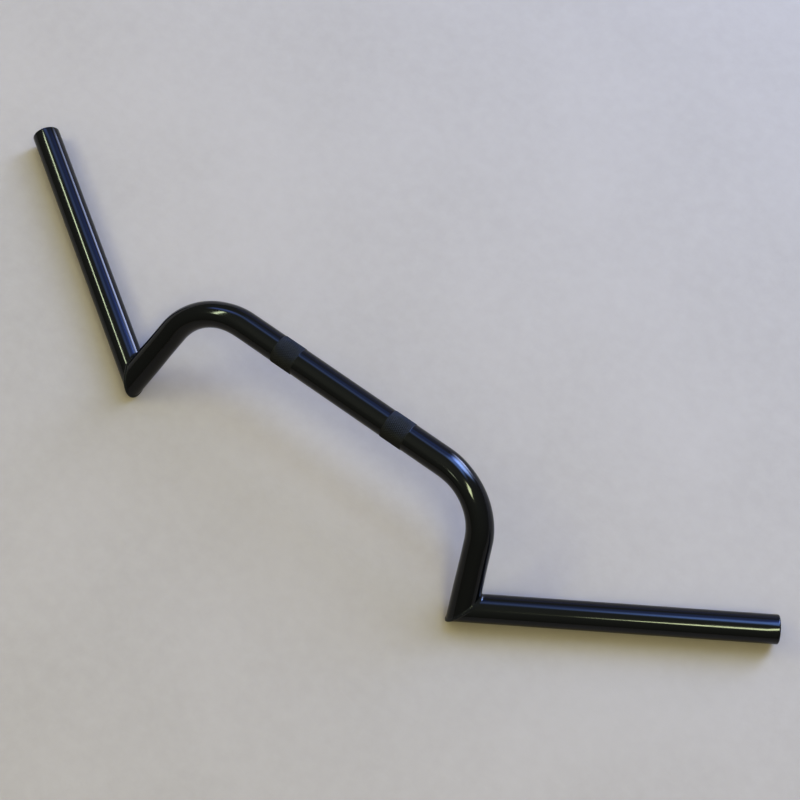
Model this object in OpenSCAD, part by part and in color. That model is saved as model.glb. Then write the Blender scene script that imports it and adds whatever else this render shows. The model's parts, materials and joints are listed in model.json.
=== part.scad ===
// A bare one-piece-look motorcycle handlebar of the Z-bar kind, built from one bent centre tube
// and two straight grip tubes that are mitred and welded to its ends.
// It lies upside down, as it does on a floor: the grips are level and lowest, and the clamp
// section is on top. +X runs along the clamp axis to the rider's right, +Y is the side that the
// grips sweep back to, and +Z is up. The origin is the middle of the clamp section, on its axis.
// All sizes are in millimetres and degrees.

/* [Tube] */
// Outside diameter of the tube
tube_d = 22.2; // [19:0.1:25.4]
// Wall thickness of the tube
wall = 2.2; // [1.6:0.1:3]

/* [Centre tube] */
// Straight length between the two bends
clamp_len = 184; // [150:1:240]
// Radius of each bend, on the centre line
bend_r = 54; // [45:1:70]
// Angle that each bend turns through
bend_angle = 75; // [60:1:85]
// Straight length between the bend and the mitre, on the centre line
riser_len = 55; // [40:1:90]
// Slope of the two risers' common plane, from level
riser_slope = 45; // [30:1:60]

/* [Grip tubes] */
// Length from the mitre to the open end, on the centre line
grip_len = 234; // [150:1:260]
// Angle that the grips sweep back by
grip_sweep = 32; // [15:1:45]
// Radius of the rounded outer edge at the open end
end_round = 1.2; // [0.4:0.1:1.5]
// Diameter of the reamed bore at the open end
end_bore_d = 18.2; // [18.2:0.1:18.8]
// Depth of the reamed bore
end_bore_depth = 45; // [25:1:80]

/* [Knurled bands] */
// Distance between the middles of the two bands
knurl_spacing = 102; // [80:1:120]
// Length of each band
knurl_len = 19; // [12:1:26]
// Height of the knurls above the tube
knurl_rise = 0.25; // [0.2:0.01:0.27]

/* [Welds] */
// Width that a bead covers on each side of its seam
bead_reach = 3; // [2:0.1:4]
// Height of a bead above its seam
bead_rise = 0.5; // [0.3:0.1:1.2]
// Extra height of a bead in the inside corner of the mitre
corner_fill = 1.3; // [0.6:0.1:2]

/* [Hidden] */

tube_colour = [0.03, 0.03, 0.035];
weld_colour = [0.09, 0.09, 0.1];

tube_r = tube_d / 2;
bore_r = tube_r - wall;
knurl_r = tube_r + knurl_rise;

// The bent part lies in one plane. Its axes are the row's X and the way down the slope.
down_slope = [0, -cos(riser_slope), -sin(riser_slope)];
riser_dir = [cos(bend_angle), 0, 0] + sin(bend_angle) * down_slope;
riser_drop = bend_r * (1 - cos(bend_angle)) + riser_len * sin(bend_angle);
corner = [clamp_len / 2 + bend_r * sin(bend_angle) + riser_len * cos(bend_angle), 0, 0]
    + riser_drop * down_slope;

// The mitre plane halves the turn from the riser to the grip.
grip_dir = [cos(grip_sweep), sin(grip_sweep), 0];
mitre_normal = (riser_dir + grip_dir) / norm(riser_dir + grip_dir);
mitre_angle = acos(mitre_normal * grip_dir);
mitre_run = tube_r * tan(mitre_angle);

// Past the mitre each tube is made longer and cut back to the mitre plane.
cut_margin = 2;
overshoot = mitre_run + cut_margin;
cut_size = 2.5 * overshoot;

// A riser is a hair thinner than its bend, and starts a little way inside it.
riser_step = 0.02;
riser_lap = 0.5;

// The grip tube is dressed slightly thinner beside the weld. The full diameter starts past it.
dressed_len = mitre_run + bead_reach + cut_margin;
dressed_off = 0.05;

// The seam is an ellipse in the mitre plane: its short axis is square to both tubes, and its
// long axis points into the inside corner.
seam_short = cross(riser_dir, grip_dir) / norm(cross(riser_dir, grip_dir));
seam_long = (grip_dir - riser_dir) / norm(grip_dir - riser_dir);
bead_steps = 48;
bead_arc = 5;
section_points = bead_arc + 2;

// The bead's flats touch the round tubes from outside.
seam_r = tube_r / cos(180 / bead_steps);

function seam_point(t) = seam_r * (cos(t) * seam_short + sin(t) / cos(mitre_angle) * seam_long);

function seam_outward(t) =
    let (v = cos(t) * seam_short + cos(mitre_angle) * sin(t) * seam_long)
    v / norm(v);

// One cross-section of the bead: a parabola from the riser's surface over the seam to the
// grip's surface, closed along both surfaces by the seam itself.
function bead_section(t) =
    let (
        seam = seam_point(t),
        outward = seam_outward(t),
        height = bead_rise + corner_fill * pow((1 + sin(t)) / 2, 2),
        chord = outward * (grip_dir - riser_dir) * bead_reach / 2,
        peak = seam + outward * (2 * height - chord),
        from = seam - riser_dir * bead_reach,
        to = seam + grip_dir * bead_reach
    )
    concat(
        [for (i = [0:bead_arc])
            let (s = i / bead_arc)
            (1 - s) * (1 - s) * from + 2 * s * (1 - s) * peak + s * s * to],
        [seam]
    );

function bead_points() =
    [for (k = [0:bead_steps - 1]) each bead_section(360 * k / bead_steps)];

function bead_faces() =
    [for (k = [0:bead_steps - 1], i = [0:section_points - 1])
        let (
            k2 = (k + 1) % bead_steps,
            i2 = (i + 1) % section_points,
            a = k * section_points + i,
            b = k * section_points + i2,
            c = k2 * section_points + i2,
            d = k2 * section_points + i
        )
        each [[a, b, c], [a, c, d]]];

// Turns the children's Z axis to a direction.
module pointed_along(d) {
    rotate([0, acos(d.z / norm(d)), atan2(d.y, d.x)]) children();
}

// The space on one side of the mitre plane: side is 1 for the grip's side, -1 for the riser's.
module mitre_side(side) {
    translate(corner)
        pointed_along(mitre_normal)
            translate([0, 0, side * cut_size / 2])
                cube(cut_size, center = true);
}

// A rod along the X axis.
module rod(r, from, to) {
    translate([from, 0, 0]) rotate([0, 90, 0]) cylinder(r = r, h = to - from, $fn = 96);
}

// A solid of the bent tube's path, lying in its own plane, with the overshoot at each end.
module bent_rod(r) {
    rod(r, -clamp_len / 2, clamp_len / 2);
    for (side = [0, 1]) {
        mirror([side, 0, 0]) translate([clamp_len / 2, bend_r, 0]) {
            rotate([0, 0, -90])
                rotate_extrude(angle = bend_angle, $fn = 192)
                    translate([bend_r, 0]) circle(r = r, $fn = 96);
            rotate([0, 0, bend_angle])
                translate([0, -bend_r, 0])
                    rod(r - riser_step, -riser_lap, riser_len + overshoot);
        }
    }
}

module centre_tube() {
    color(tube_colour)
        difference() {
            rotate([riser_slope - 180, 0, 0])
                difference() {
                    union() {
                        bent_rod(tube_r);
                        for (middle = [-knurl_spacing / 2, knurl_spacing / 2]) {
                            rod(knurl_r, middle - knurl_len / 2, middle + knurl_len / 2);
                        }
                    }
                    bent_rod(bore_r);
                }
            for (side = [0, 1]) {
                mirror([side, 0, 0]) mitre_side(1);
            }
        }
}

// Half of the grip tube's lengthwise section, with the mitre at 0 and the open end at grip_len.
module grip_profile() {
    difference() {
        union() {
            polygon([
                [0, -overshoot],
                [tube_r - dressed_off, -overshoot],
                [tube_r, dressed_len],
                [tube_r, grip_len - end_round],
                [0, grip_len - end_round]
            ]);
            square([tube_r - end_round, grip_len]);
            translate([tube_r - end_round, grip_len - end_round]) circle(r = end_round, $fn = 48);
        }
        translate([0, -overshoot]) square([bore_r, overshoot + grip_len]);
        translate([0, grip_len - end_bore_depth]) square([end_bore_d / 2, end_bore_depth]);
    }
}

module grip_tube() {
    color(tube_colour)
        difference() {
            translate(corner)
                pointed_along(grip_dir)
                    rotate_extrude($fn = 96) grip_profile();
            mitre_side(-1);
        }
}

module mitre_weld() {
    color(weld_colour)
        translate(corner) polyhedron(points = bead_points(), faces = bead_faces());
}

module left_grip_tube() {
    mirror([1, 0, 0]) grip_tube();
}

module right_grip_tube() {
    grip_tube();
}

module left_mitre_weld() {
    mirror([1, 0, 0]) mitre_weld();
}

module right_mitre_weld() {
    mitre_weld();
}

centre_tube();
left_grip_tube();
right_grip_tube();
left_mitre_weld();
right_mitre_weld();
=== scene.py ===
"""The looks of a bare black motorcycle handlebar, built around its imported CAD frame.

It makes a detailed mesh for each of the five pieces, their procedural materials, and a plain
studio: a pale floor, soft panels and a camera. Lengths are metres and angles are degrees.
"""

import json
import math

import bmesh
import bpy
import numpy as np
from mathutils import Matrix, Vector


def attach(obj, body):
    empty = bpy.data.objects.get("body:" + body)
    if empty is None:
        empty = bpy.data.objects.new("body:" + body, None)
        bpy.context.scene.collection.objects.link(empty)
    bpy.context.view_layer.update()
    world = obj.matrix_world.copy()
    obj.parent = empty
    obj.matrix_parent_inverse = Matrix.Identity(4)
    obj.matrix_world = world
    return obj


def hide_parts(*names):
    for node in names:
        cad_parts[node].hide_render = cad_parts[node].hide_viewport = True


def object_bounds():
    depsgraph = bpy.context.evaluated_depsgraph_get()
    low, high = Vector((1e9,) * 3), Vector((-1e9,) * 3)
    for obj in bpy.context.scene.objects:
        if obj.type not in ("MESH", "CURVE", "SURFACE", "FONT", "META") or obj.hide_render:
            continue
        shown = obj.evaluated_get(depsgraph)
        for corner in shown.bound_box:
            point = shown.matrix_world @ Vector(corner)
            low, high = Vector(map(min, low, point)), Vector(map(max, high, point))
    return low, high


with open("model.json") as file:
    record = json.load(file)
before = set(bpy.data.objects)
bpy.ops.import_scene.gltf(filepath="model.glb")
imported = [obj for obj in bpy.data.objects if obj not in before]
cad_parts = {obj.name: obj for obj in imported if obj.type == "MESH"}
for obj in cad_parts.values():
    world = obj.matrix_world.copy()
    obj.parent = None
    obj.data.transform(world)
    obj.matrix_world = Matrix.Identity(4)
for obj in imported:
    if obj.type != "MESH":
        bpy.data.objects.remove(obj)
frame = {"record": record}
cad_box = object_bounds()
mounts = {m["name"]: m for m in frame["record"]["mounts"]}

MM = 0.001
TAU = 2 * math.pi

# Sizes that the record's mounts give.
TUBE_R = mounts["accessory_seat"]["dims"]["r_mm"] * MM
KNURL_R = mounts["right_clamp_seat"]["dims"]["r_mm"] * MM
KNURL_LEN = mounts["right_clamp_seat"]["dims"]["length_mm"] * MM
KNURL_X = mounts["right_clamp_seat"]["pos_m"][0]
END_BORE_R = mounts["right_bar_end"]["dims"]["r_mm"] * MM
END_BORE_DEPTH = mounts["right_bar_end"]["dims"]["length_mm"] * MM

# The bar's other driving dimensions, the same as the CAD's.
WALL = 2.2 * MM
CLAMP_LEN = 184 * MM
BEND_R = 54 * MM
BEND_ANGLE = math.radians(75)
RISER_LEN = 55 * MM
RISER_SLOPE = math.radians(45)
GRIP_LEN = 234 * MM
GRIP_SWEEP = math.radians(32)
RIM_ROUND = 1.2 * MM

# The weld beads: how far one covers each tube, its height, and its extra height in the inside
# corner. All three are a little less than the CAD's.
BEAD_REACH = 2.3 * MM
BEAD_RISE = 0.3 * MM
CORNER_FILL = 0.8 * MM

BORE_R = TUBE_R - WALL


def unit(v):
    return v / np.linalg.norm(v)


# Directions and places that follow from them, on the right-hand side.
DOWN_SLOPE = np.array([0, -math.cos(RISER_SLOPE), -math.sin(RISER_SLOPE)])
PLANE_NORMAL = np.cross([1, 0, 0], DOWN_SLOPE)
RISER_DIR = math.cos(BEND_ANGLE) * np.array([1, 0, 0]) + math.sin(BEND_ANGLE) * DOWN_SLOPE
GRIP_DIR = np.array([math.cos(GRIP_SWEEP), math.sin(GRIP_SWEEP), 0])
MITRE_NORMAL = unit(RISER_DIR + GRIP_DIR)
MITRE_COS = float(MITRE_NORMAL @ GRIP_DIR)
MITRE_RUN = TUBE_R * math.tan(math.acos(MITRE_COS))
BEND_LEN = BEND_R * BEND_ANGLE
HALF_LEN = CLAMP_LEN / 2 + BEND_LEN + RISER_LEN


# ---------------------------------------------------------------- meshes

def ring_angles(count):
    return np.arange(count) * TAU / count


def face_outward(mesh):
    """Turns a closed mesh the right way out, if it is inside out."""
    shape = bmesh.new()
    shape.from_mesh(mesh)
    if shape.calc_volume(signed=True) < 0:
        bmesh.ops.reverse_faces(shape, faces=shape.faces)
        shape.to_mesh(mesh)
    shape.free()
    mesh.update()


def closed_skin(name, rings, places, smooth_angle=35):
    """A closed mesh from rings of points, each joined to the next and the last to the first.
    places are the same points on the straightened tube, which the materials read."""
    rings = np.array(rings)
    count, size = rings.shape[:2]
    faces = []
    for i in range(count):
        row, after = i * size, ((i + 1) % count) * size
        for j in range(size):
            k = (j + 1) % size
            faces.append((row + j, row + k, after + k, after + j))
    mesh = bpy.data.meshes.new(name)
    mesh.from_pydata(rings.reshape(-1, 3).tolist(), [], faces)
    face_outward(mesh)
    straight = mesh.attributes.new("straight", "FLOAT_VECTOR", "POINT")
    straight.data.foreach_set("vector", np.array(places, np.float32).ravel())
    piece = bpy.data.objects.new(name, mesh)
    bpy.context.scene.collection.objects.link(piece)
    mesh.shade_smooth()
    mesh.set_sharp_from_angle(angle=math.radians(smooth_angle))
    return piece


def slide_to_mitre(points, along):
    """Moves points along a tube's direction until they lie in the right mitre plane.
    The points are measured from the corner."""
    return points - np.outer(points @ MITRE_NORMAL / (along @ MITRE_NORMAL), along)


def mirrored(points):
    return points * np.array([-1, 1, 1])


def straight_places(distances, radius, angles):
    """Where the points of each ring would lie if the tube were straight: round Z, at each
    ring's distance along it."""
    round_x = radius * np.cos(angles)
    round_y = radius * np.sin(angles)
    return [np.column_stack([round_x, round_y, np.full(len(angles), s)]) for s in distances]


# ---- the bent centre tube

# The knurl is two crossed sets of ridges, and each tooth has the same number of points round it.
KNURL_TEETH = 48
POINTS_PER_TOOTH = 6
CENTRE_POINTS = KNURL_TEETH * POINTS_PER_TOOTH
KNURL_SLANT = math.radians(30)
KNURL_PITCH = TAU * KNURL_R / KNURL_TEETH
KNURL_STEP = KNURL_PITCH / math.tan(KNURL_SLANT) / POINTS_PER_TOOTH
GROOVE_R = TUBE_R - 0.12 * MM
KNURL_FADE = 0.6 * MM

# Over 1, so that the teeth are flat on top.
CREST_GAIN = 1.35

# How much thinner the tube is in its bends, and in its risers just past them.
BEND_FLATTEN = 0.08
RISER_FLATTEN = 0.035

# The last plain ring on each riser, and the steps from there to the mitre plane.
LAST_PLAIN = HALF_LEN - MITRE_RUN - 3 * MM
MITRE_STEPS = 8

# The steps of the tube's rings, one half of it at a time.
CLAMP_STEPS = 5
BEND_STEPS = 38
BORE_BEND_STEPS = 19
RISER_STEPS = 8


def smooth_step(t):
    t = np.clip(t, 0, 1)
    return t * t * (3 - 2 * t)


def centre_station(s):
    """The centre line at a distance s from its middle: point, outward normal of the bend."""
    a = abs(s)
    if a <= CLAMP_LEN / 2:
        turn, x, drop = 0, a, 0
    else:
        turn = min((a - CLAMP_LEN / 2) / BEND_R, BEND_ANGLE)
        past = max(a - CLAMP_LEN / 2 - BEND_LEN, 0)
        x = CLAMP_LEN / 2 + BEND_R * math.sin(turn) + past * math.cos(turn)
        drop = BEND_R * (1 - math.cos(turn)) + past * math.sin(turn)
    side = -1 if s < 0 else 1
    point = np.array([side * x, 0, 0]) + drop * DOWN_SLOPE
    normal = np.array([side * math.sin(turn), 0, 0]) - math.cos(turn) * DOWN_SLOPE
    return point, normal


def flattening(s):
    """How much thinner the tube is in the plane of its bends, from forming them. It grows over
    the first 35 % of a bend, falls to the riser's own over the last 40 %, and fades out over
    the half riser before the mitre."""
    a = abs(s) - CLAMP_LEN / 2
    in_bend = smooth_step(a / (0.35 * BEND_LEN))
    after = smooth_step((a - 0.6 * BEND_LEN) / (0.4 * BEND_LEN))
    fade = smooth_step((HALF_LEN - MITRE_RUN - abs(s)) / (0.5 * RISER_LEN))
    return in_bend * ((1 - after) * BEND_FLATTEN + after * RISER_FLATTEN * fade)


def knurl_height(s, angles):
    """The knurl's radius over the plain tube's at a distance s along the clamp section."""
    from_edge = KNURL_LEN / 2 - abs(abs(s) - KNURL_X)
    if from_edge < 0:
        return np.zeros(len(angles))
    across = angles * KNURL_TEETH / TAU
    along = (abs(s) - KNURL_X) / (KNURL_STEP * POINTS_PER_TOOTH)
    first = 2 * np.abs((across + along) % 1 - 0.5)
    second = 2 * np.abs((across - along) % 1 - 0.5)
    crest = np.clip(CREST_GAIN * np.minimum(first, second), 0, 1)
    height = (GROOVE_R - TUBE_R) + crest * (KNURL_R - GROOVE_R)
    return height * smooth_step(from_edge / KNURL_FADE)


def centre_ring(s, radius, angles, knurled):
    point, normal = centre_station(s)
    thin = flattening(s)
    r = radius + (knurl_height(s, angles) if knurled else 0)
    in_plane = (r * (1 - thin) * np.cos(angles))[:, None] * normal
    out_of_plane = (r * (1 + thin / 4) * np.sin(angles))[:, None] * PLANE_NORMAL
    return point + in_plane + out_of_plane


def centre_end_rings(radius, angles):
    """Rings that lead from the last plain ring on the right riser to the mitre plane."""
    plain = centre_ring(LAST_PLAIN, radius, angles, False)
    corner = centre_station(HALF_LEN)[0]
    end = corner + slide_to_mitre(plain - corner, RISER_DIR)
    return [plain + (end - plain) * i / MITRE_STEPS for i in range(1, MITRE_STEPS + 1)]


def centre_stations(knurled):
    """Distances along one half of the centre line, finer where the shape needs it."""
    start = CLAMP_LEN / 2
    if knurled:
        band_start, band_end = KNURL_X - KNURL_LEN / 2, KNURL_X + KNURL_LEN / 2
        clamp = [share * band_start for share in (0.25, 0.5, 0.75)] + [band_start - KNURL_FADE]
        clamp += list(np.linspace(band_start, band_end, int(KNURL_LEN / KNURL_STEP) + 1))
        clamp += list(np.linspace(band_end + KNURL_FADE, start, CLAMP_STEPS + 1))
        bend_steps = BEND_STEPS
    else:
        clamp = [0.5 * start, start]
        bend_steps = BORE_BEND_STEPS
    bend = list(start + np.linspace(0, BEND_LEN, bend_steps + 1)[1:])
    riser = list(np.linspace(start + BEND_LEN, LAST_PLAIN, RISER_STEPS + 1)[1:])
    return clamp + bend + riser


def build_centre_tube():
    """The tube's outside from left to right, and then its bore from right to left."""
    angles = ring_angles(CENTRE_POINTS)
    ends = [HALF_LEN] * MITRE_STEPS
    rings, distances = [], []
    for radius, outside in ((TUBE_R, True), (BORE_R, False)):
        half = centre_stations(outside)
        stations = [-s for s in reversed(half)] + [0] + half
        skin = [centre_ring(s, radius, angles, outside) for s in stations]
        right = centre_end_rings(radius, angles)
        left = [mirrored(ring) for ring in reversed(right)]
        skin = left + skin + right
        along = [-e for e in ends] + stations + ends
        if not outside:
            skin.reverse()
            along.reverse()
        rings += skin
        distances += along
    places = straight_places(distances, TUBE_R, angles)
    piece = closed_skin("centre_tube_bent", rings, places)
    mark_centre_faces(piece.data)
    return piece


def mark_centre_faces(mesh):
    """Faces of the two knurled bands take the second material, and of the bore the third."""
    centres = np.empty(len(mesh.polygons) * 3)
    mesh.polygons.foreach_get("center", centres)
    across = np.abs(centres.reshape(-1, 3)[:, 0])
    index = np.where(np.abs(across - KNURL_X) < KNURL_LEN / 2, 1, 0)
    outside_rings = 2 * (len(centre_stations(True)) + MITRE_STEPS) + 1
    index[outside_rings * CENTRE_POINTS:] = 2
    mesh.polygons.foreach_set("material_index", index.astype(np.int32))


# ---- the grip tubes

GRIP_POINTS = 144
BORE_CHAMFER = 0.35 * MM

# The reamed bore's rings start this far inside the end, and the step at its bottom is this long.
REAM_START = 3 * MM
REAM_STEP = 0.5 * MM

# How many rings lead to the mitre, and how many the rest of the section has.
LEAD_RINGS = 6
OUTSIDE_RINGS = 24
RIM_RINGS = 8
REAMED_RINGS = 6
BORE_RINGS = 12


def grip_profile():
    """(distance from the mitre, radius) round the tube's wall: out along the outside, over the
    rounded rim, and back along the reamed bore and the tube's own bore."""
    plain_from = MITRE_RUN + BEAD_REACH
    rim_from = GRIP_LEN - RIM_ROUND
    profile = [(z, TUBE_R) for z in np.linspace(plain_from, rim_from, OUTSIDE_RINGS)]
    for turn in np.radians(np.linspace(0, 90, RIM_RINGS + 1)[1:]):
        z = GRIP_LEN - RIM_ROUND * (1 - math.sin(turn))
        profile.append((z, TUBE_R - RIM_ROUND * (1 - math.cos(turn))))
    profile.append((GRIP_LEN, END_BORE_R + BORE_CHAMFER))
    profile.append((GRIP_LEN - BORE_CHAMFER, END_BORE_R))
    ream_end = GRIP_LEN - END_BORE_DEPTH
    for z in np.linspace(GRIP_LEN - REAM_START, ream_end, REAMED_RINGS):
        profile.append((z, END_BORE_R))
    profile += [(z, BORE_R) for z in np.linspace(ream_end - REAM_STEP, plain_from, BORE_RINGS)]
    return profile


def build_grip_tube(name, side):
    """A grip tube on one side: -1 for the left, 1 for the right. Faces from the bore's chamfer
    inwards take the second material."""
    angles = ring_angles(GRIP_POINTS)
    corner = centre_station(HALF_LEN)[0]
    flat = np.array([-GRIP_DIR[1], GRIP_DIR[0], 0])
    round_dir = np.cos(angles)[:, None] * flat + np.sin(angles)[:, None] * np.array([0, 0, 1])
    profile = grip_profile()
    rings = [z * GRIP_DIR + r * round_dir for z, r in profile]
    distances = [z for z, r in profile]
    first = slide_to_mitre(rings[0], GRIP_DIR)
    last = slide_to_mitre(rings[-1], GRIP_DIR)
    steps = range(LEAD_RINGS)
    lead_in = [first + (rings[0] - first) * i / LEAD_RINGS for i in steps]
    lead_out = [rings[-1] + (last - rings[-1]) * (i + 1) / LEAD_RINGS for i in steps]
    rings = [corner + r for r in lead_in + rings + lead_out]
    distances = [0] * LEAD_RINGS + distances + [0] * LEAD_RINGS
    if side < 0:
        rings = [mirrored(r) for r in rings]
    piece = closed_skin(name, rings, straight_places(distances, TUBE_R, angles))
    index = np.zeros(len(piece.data.polygons), np.int32)
    chamfer_ring = LEAD_RINGS + OUTSIDE_RINGS + RIM_RINGS + 1
    index[chamfer_ring * GRIP_POINTS:] = 1
    piece.data.polygons.foreach_set("material_index", index)
    return piece


# ---- the weld beads

BEAD_RIPPLES = 52
STEPS_PER_RIPPLE = 8
BEAD_ARC = 14
BEAD_SINK = 0.35 * MM

# A ripple's height, how blunt its top is, its mean level, and how far it trails at the sides.
RIPPLE_HEIGHT = 0.09 * MM
RIPPLE_BLUNT = 0.6
RIPPLE_MEAN = 0.6
RIPPLE_TRAIL = 1.1


def bead_section(turn):
    """One cross-section of the bead, at a share of the way round it: a rippled parabola from
    the riser's surface over the seam to the grip's surface, closed a little below both."""
    short = unit(np.cross(RISER_DIR, GRIP_DIR))
    long = unit(GRIP_DIR - RISER_DIR)
    c, s = math.cos(TAU * turn), math.sin(TAU * turn)
    seam = TUBE_R * (c * short + s / MITRE_COS * long)
    outward = unit(c * short + MITRE_COS * s * long)
    height = BEAD_RISE + CORNER_FILL * ((1 + s) / 2) ** 2
    chord = outward @ (GRIP_DIR - RISER_DIR) * BEAD_REACH / 2
    peak = seam + outward * (2 * height - chord)
    start, end = seam - RISER_DIR * BEAD_REACH, seam + GRIP_DIR * BEAD_REACH
    points = []
    for t in np.linspace(0, 1, BEAD_ARC + 1):
        point = (1 - t) ** 2 * start + 2 * t * (1 - t) * peak + t * t * end
        crescent = turn * BEAD_RIPPLES + RIPPLE_TRAIL * (2 * t - 1) ** 2
        ripple = abs(math.sin(math.pi * crescent)) ** RIPPLE_BLUNT - RIPPLE_MEAN
        # The last three factors fade the ripple out towards both sides of the bead.
        points.append(point + outward * ripple * RIPPLE_HEIGHT * 4 * t * (1 - t))
    points.append(end - outward * BEAD_SINK)
    points.append(seam - outward * 2 * BEAD_SINK)
    points.append(start - outward * BEAD_SINK)
    return points


def build_weld(name, side):
    corner = centre_station(HALF_LEN)[0]
    count = BEAD_RIPPLES * STEPS_PER_RIPPLE
    turns = np.arange(count) / count
    sections = [corner + np.array(bead_section(turn)) for turn in turns]
    if side < 0:
        sections = [mirrored(p) for p in sections]
    return closed_skin(name, sections, sections, smooth_angle=60)


# ---------------------------------------------------------------- materials

class Shader:
    """A material's node tree, with short ways to add and join its nodes."""

    def __init__(self, name):
        self.material = bpy.data.materials.new(name)
        self.material.use_nodes = True
        self.tree = self.material.node_tree
        self.tree.nodes.clear()
        self.surface = self.node("ShaderNodeBsdfPrincipled")
        output = self.node("ShaderNodeOutputMaterial")
        self.link(self.surface.outputs["BSDF"], output.inputs["Surface"])

    def node(self, kind, **settings):
        made = self.tree.nodes.new(kind)
        for key, value in settings.items():
            setattr(made, key, value)
        return made

    def link(self, source, target):
        self.tree.links.new(source, target)

    def straight(self, scale=(1, 1, 1)):
        """Places on the straightened tube, stretched by a scale."""
        attribute = self.node("ShaderNodeAttribute", attribute_name="straight")
        mapping = self.node("ShaderNodeMapping")
        mapping.inputs["Scale"].default_value = scale
        self.link(attribute.outputs["Vector"], mapping.inputs["Vector"])
        return mapping.outputs["Vector"]

    def noise(self, vector, scale, detail=4, roughness=0.55):
        made = self.node("ShaderNodeTexNoise")
        made.inputs["Scale"].default_value = scale
        made.inputs["Detail"].default_value = detail
        made.inputs["Roughness"].default_value = roughness
        self.link(vector, made.inputs["Vector"])
        return made.outputs["Fac"]

    def remap(self, value, low, high, to_low, to_high):
        made = self.node("ShaderNodeMapRange")
        for key, number in zip(("From Min", "From Max", "To Min", "To Max"),
                               (low, high, to_low, to_high)):
            made.inputs[key].default_value = number
        self.link(value, made.inputs["Value"])
        return made.outputs["Result"]

    def mix(self, factor, first, second):
        """A colour between two, each a constant or a socket."""
        made = self.node("ShaderNodeMix", data_type="RGBA")
        self.link(factor, made.inputs["Factor"])
        colours = [s for s in made.inputs if s.type == "RGBA"]
        for socket, value in zip(colours, (first, second)):
            if isinstance(value, bpy.types.NodeSocket):
                self.link(value, socket)
            else:
                socket.default_value = (*value, 1)
        return [s for s in made.outputs if s.type == "RGBA"][0]

    def bump(self, height, distance):
        made = self.node("ShaderNodeBump")
        made.inputs["Strength"].default_value = 1
        made.inputs["Distance"].default_value = distance
        self.link(height, made.inputs["Height"])
        return made.outputs["Normal"]

    def set(self, **values):
        """Sets or links the surface's own sockets, each named with _ for a space."""
        for name, value in values.items():
            socket = self.surface.inputs[name.replace("_", " ")]
            if isinstance(value, bpy.types.NodeSocket):
                self.link(value, socket)
            else:
                socket.default_value = value


def gloss_black_paint():
    """Gloss black paint, with slight orange peel, smudges and specks of dust."""
    shader = Shader("gloss_black_paint")
    place = shader.straight()
    peel = shader.noise(place, 330, detail=2, roughness=0.4)
    smudge = shader.noise(shader.straight((1, 1, 0.3)), 60, detail=5)
    dust = shader.remap(shader.noise(place, 2600, detail=1), 0.70, 0.80, 0, 1)
    colour = shader.mix(dust, (0.004, 0.004, 0.0045), (0.03, 0.029, 0.027))
    shader.set(
        Base_Color=colour,
        Roughness=shader.remap(smudge, 0.35, 0.75, 0.09, 0.15),
        IOR=1.52,
        Normal=shader.bump(peel, 0.004 * MM),
    )
    return shader.material


def knurled_paint():
    """Duller paint, a little worn, on the knurled bands."""
    shader = Shader("knurled_black_paint")
    place = shader.straight()
    worn = shader.noise(place, 400, detail=4)
    colour = shader.mix(shader.remap(worn, 0.45, 0.75, 0, 1), (0.013, 0.011, 0.0095),
                        (0.023, 0.021, 0.019))
    shader.set(
        Base_Color=colour,
        Roughness=shader.remap(worn, 0.3, 0.7, 0.42, 0.55),
        IOR=1.42,
        Normal=shader.bump(shader.noise(place, 1500, detail=2), 0.02 * MM),
    )
    return shader.material


def weld_paint():
    """Black paint over the grain of the weld metal."""
    shader = Shader("painted_weld_bead")
    place = shader.straight()
    grain = shader.noise(place, 900, detail=3)
    colour = shader.mix(shader.remap(grain, 0.4, 0.8, 0, 1), (0.008, 0.008, 0.009),
                        (0.02, 0.02, 0.021))
    shader.set(
        Base_Color=colour,
        Roughness=shader.remap(grain, 0.3, 0.7, 0.13, 0.22),
        IOR=1.52,
        Normal=shader.bump(grain, 0.02 * MM),
    )
    return shader.material


def bore_steel():
    """Bare drawn steel with lengthwise marks and brown stains."""
    shader = Shader("bare_bore_steel")
    drawn = shader.noise(shader.straight((1, 1, 0.02)), 1400, detail=4)
    stain = shader.noise(shader.straight(), 130, detail=6, roughness=0.65)
    clean = shader.mix(drawn, (0.16, 0.155, 0.15), (0.24, 0.235, 0.23))
    colour = shader.mix(shader.remap(stain, 0.5, 0.72, 0, 0.85), clean, (0.09, 0.045, 0.022))
    shader.set(
        Base_Color=colour,
        Metallic=0.85,
        Roughness=shader.remap(stain, 0.35, 0.7, 0.38, 0.7),
        Normal=shader.bump(drawn, 0.03 * MM),
    )
    return shader.material


def pale_floor():
    """Plain pale concrete with faint mottling."""
    shader = Shader("pale_floor")
    coordinates = shader.node("ShaderNodeTexCoord").outputs["Object"]
    broad = shader.noise(coordinates, 5, detail=5)
    fine = shader.noise(coordinates, 90, detail=4)
    tone = shader.mix(shader.remap(broad, 0.35, 0.68, 0, 1), (0.435, 0.357, 0.29),
                      (0.465, 0.382, 0.313))
    shader.set(
        Base_Color=shader.mix(shader.remap(fine, 0.35, 0.7, 0, 0.25), tone, (0.5, 0.415, 0.343)),
        Roughness=0.85,
        Specular_IOR_Level=0.2,
        Normal=shader.bump(fine, 0.15 * MM),
    )
    return shader.material


# ---------------------------------------------------------------- studio

FLOOR_HALF = 15.0


def build_floor():
    level = cad_box[0].z
    bpy.ops.mesh.primitive_plane_add(size=2 * FLOOR_HALF, location=(0, 0, level))
    floor = bpy.context.object
    floor.name = "floor"
    floor.data.materials.append(pale_floor())


def direction(azimuth, elevation):
    """A unit vector: azimuth turns from +X to +Y."""
    a, e = math.radians(azimuth), math.radians(elevation)
    return Vector((math.cos(a) * math.cos(e), math.sin(a) * math.cos(e), math.sin(e)))


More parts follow.
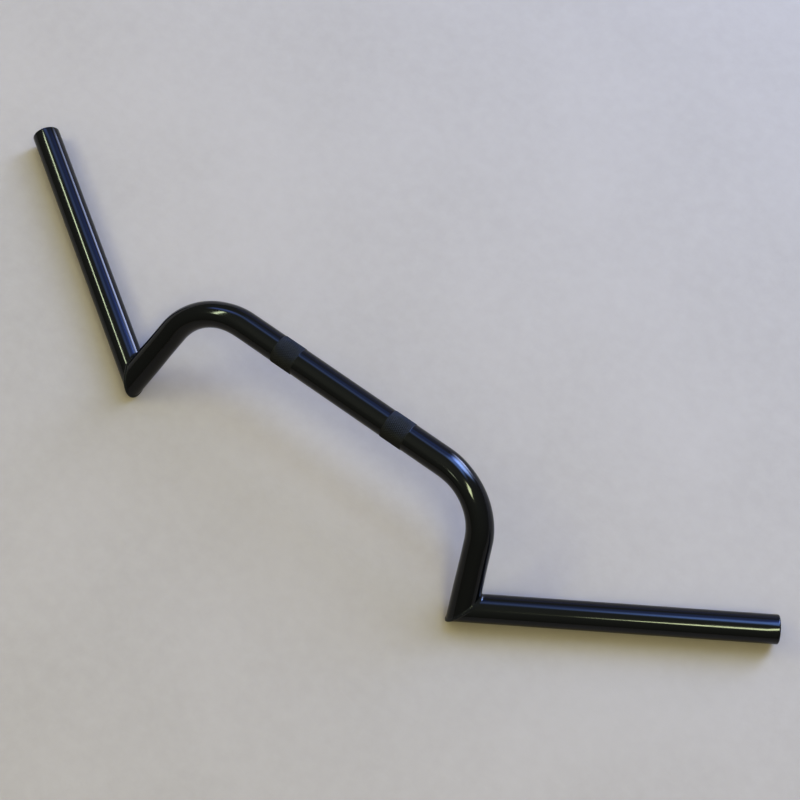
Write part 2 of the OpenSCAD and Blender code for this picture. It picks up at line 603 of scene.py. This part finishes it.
def soften_edges(light, soft):
    """Fades a panel's light towards its edges, over a share of its width and of its height."""
    light.use_nodes = True
    tree = light.node_tree
    across = tree.nodes.new("ShaderNodeNewGeometry").outputs["Parametric"]
    axes = tree.nodes.new("ShaderNodeSeparateXYZ")
    tree.links.new(across, axes.inputs["Vector"])
    fades = []
    for axis, share in zip("XY", soft):
        from_middle = tree.nodes.new("ShaderNodeMath")
        from_middle.operation = "SUBTRACT"
        from_middle.inputs[1].default_value = 0.5
        tree.links.new(axes.outputs[axis], from_middle.inputs[0])
        distance = tree.nodes.new("ShaderNodeMath")
        distance.operation = "ABSOLUTE"
        tree.links.new(from_middle.outputs["Value"], distance.inputs[0])
        fade = tree.nodes.new("ShaderNodeMapRange")
        fade.interpolation_type = "SMOOTHSTEP"
        fade.inputs["From Min"].default_value = 0.5
        fade.inputs["From Max"].default_value = 0.5 - share
        tree.links.new(distance.outputs["Value"], fade.inputs["Value"])
        fades.append(fade.outputs["Result"])
    both = tree.nodes.new("ShaderNodeMath")
    both.operation = "MULTIPLY"
    for socket, fade in zip(both.inputs, fades):
        tree.links.new(fade, socket)
    tree.links.new(both.outputs["Value"], tree.nodes["Emission"].inputs["Strength"])


def add_panel(name, back, middle, size, radiance, soft):
    """A rectangular light, as PANELS lists them."""
    light = bpy.data.lights.new(name, "AREA")
    light.shape = "RECTANGLE"
    light.size, light.size_y = size
    brightest = max(radiance)
    light.color = [level / brightest for level in radiance]
    light.energy = brightest * math.pi * size[0] * size[1]
    soften_edges(light, soft)
    lamp = bpy.data.objects.new(name, light)
    lamp.location = middle
    lamp.rotation_euler = Vector(back).to_track_quat("Z", "Y").to_euler()
    lamp.visible_camera = False
    bpy.context.scene.collection.objects.link(lamp)


# The way that a panel's back points. It lights the other way.
WALL_BACK = (0, 1, 0)
CEILING_BACK = (0, 0, 1)

# Each panel of the studio: the way its back points, its middle, its sides, its light in red,
# green and blue, and the share of each side that fades out. Lengths are metres. Panels that
# overlap are at different heights, because only one of two in the same plane is reflected.
PANELS = {
    "tall_window": (WALL_BACK, (0.70, 2.3, 1.6), (1.7, 2.3), (5.0, 7.0, 12.5), (0.35, 0.3)),
    "far_window": (WALL_BACK, (4, 25, -0.7), (16, 22), (6.0, 6.8, 10.0), (0.5, 0.35)),
    "over_window": (CEILING_BACK, (0.45, 1.42, 2.3), (1.8, 1.6), (1.35, 2.35, 5.0), (0.35, 0.35)),
    "blue_ceiling": (CEILING_BACK, (-0.3, 3.2, 2.2), (2.8, 3.4), (0.12, 0.28, 1.1), (0.4, 0.15)),
    "blue_corner": (CEILING_BACK, (0.5, 3.2, 2.25), (2.0, 3.4), (0.35, 0.65, 2.3), (0.35, 0.15)),
    "low_haze": (WALL_BACK, (-10, 25, 3), (17, 17), (0.16, 0.18, 0.45), (0.3, 0.4)),
    "blue_side": (CEILING_BACK, (-2.8, 1.2, 2.1), (3.2, 1.4), (0.6, 1.0, 2.6), (0.25, 0.35)),
    "pale_strip": (CEILING_BACK, (-0.8, 1.25, 2.15), (2.4, 1.2), (0.45, 0.75, 1.8), (0.3, 0.35)),
    "dim_ceiling": (CEILING_BACK, (-0.6, -1.6, 2.4), (2.6, 4.2), (0.13, 0.13, 0.11), (0.4, 0.4)),
    "near_lamp": (CEILING_BACK, (2.12, -0.75, 4.4), (0.8, 2.4), (11, 12, 7.7), (0.15, 0.1)),
    "far_lamp": (CEILING_BACK, (-2.0, -0.45, 2.1), (0.36, 1.8), (10.5, 11.8, 8.3), (0.1, 0.1)),
    "rear_lamp": (CEILING_BACK, (-0.12, -2.05, 2.1), (0.26, 0.3), (8, 9, 6.5), (0.2, 0.2)),
}

# The room's own dim light, at floor level and below, and straight overhead.
LOW_SKY = (0.20, 0.20, 0.175)
HIGH_SKY = (0.41, 0.43, 0.355)


def build_sky():
    """A dim room all round, brighter overhead."""
    world = bpy.data.worlds.new("studio")
    world.use_nodes = True
    tree = world.node_tree
    up = tree.nodes.new("ShaderNodeSeparateXYZ")
    tree.links.new(tree.nodes.new("ShaderNodeTexCoord").outputs["Generated"], up.inputs[0])
    blend = tree.nodes.new("ShaderNodeMix")
    blend.data_type = "RGBA"
    tree.links.new(up.outputs["Z"], blend.inputs["Factor"])
    low, high = [socket for socket in blend.inputs if socket.type == "RGBA"]
    low.default_value = (*LOW_SKY, 1)
    high.default_value = (*HIGH_SKY, 1)
    colour = [socket for socket in blend.outputs if socket.type == "RGBA"][0]
    tree.links.new(colour, tree.nodes["Background"].inputs["Color"])
    bpy.context.scene.world = world


def build_lights():
    """Two cool windows and a haze on the +Y side, blue and dim panels and three pale lamps
    overhead, and the dim sky behind them all."""
    for name, settings in PANELS.items():
        add_panel(name, *settings)
    build_sky()


# The camera's heading, its tilt down and its roll, the point it looks at near the middle of the
# bar, and how far off it stands.
VIEW_HEADING = 128.461
VIEW_DOWN = 68.695
VIEW_ROLL = 2.277
VIEW_TARGET = Vector((28.54, 31.68, -38.0)) * MM
VIEW_DISTANCE = 1358.1 * MM
LENS_MM = 80
SENSOR_MM = 36


def build_camera():
    lens = bpy.data.cameras.new("camera")
    lens.lens = LENS_MM
    lens.sensor_width = SENSOR_MM
    camera = bpy.data.objects.new("camera", lens)
    bpy.context.scene.collection.objects.link(camera)
    ahead = direction(VIEW_HEADING, -VIEW_DOWN)
    level = (-ahead).to_track_quat("Z", "Y").to_matrix().to_4x4()
    roll = Matrix.Rotation(math.radians(-VIEW_ROLL), 4, "Z")
    camera.matrix_world = (
        Matrix.Translation(VIEW_TARGET - ahead * VIEW_DISTANCE) @ level @ roll
    )
    bpy.context.scene.camera = camera
    bpy.context.scene.view_settings.view_transform = "Standard"
    bpy.context.scene.view_settings.look = "High Contrast"


# ---------------------------------------------------------------- the whole scene

def finish_piece(piece, materials, node):
    """Gives a piece its materials and its place in the frame: it stands for one CAD node."""
    for material in materials:
        piece.data.materials.append(material)
    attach(piece, "root")
    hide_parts(node)


build_camera()
paint = gloss_black_paint()
knurls = knurled_paint()
bore = bore_steel()
bead = weld_paint()

finish_piece(build_centre_tube(), [paint, knurls, bore], "centre_tube")
for side_name, side in (("left", -1), ("right", 1)):
    grip = build_grip_tube(side_name + "_grip_mitred", side)
    finish_piece(grip, [paint, bore], side_name + "_grip_tube")
    weld = build_weld(side_name + "_weld_bead", side)
    finish_piece(weld, [bead], side_name + "_mitre_weld")

build_floor()
build_lights()
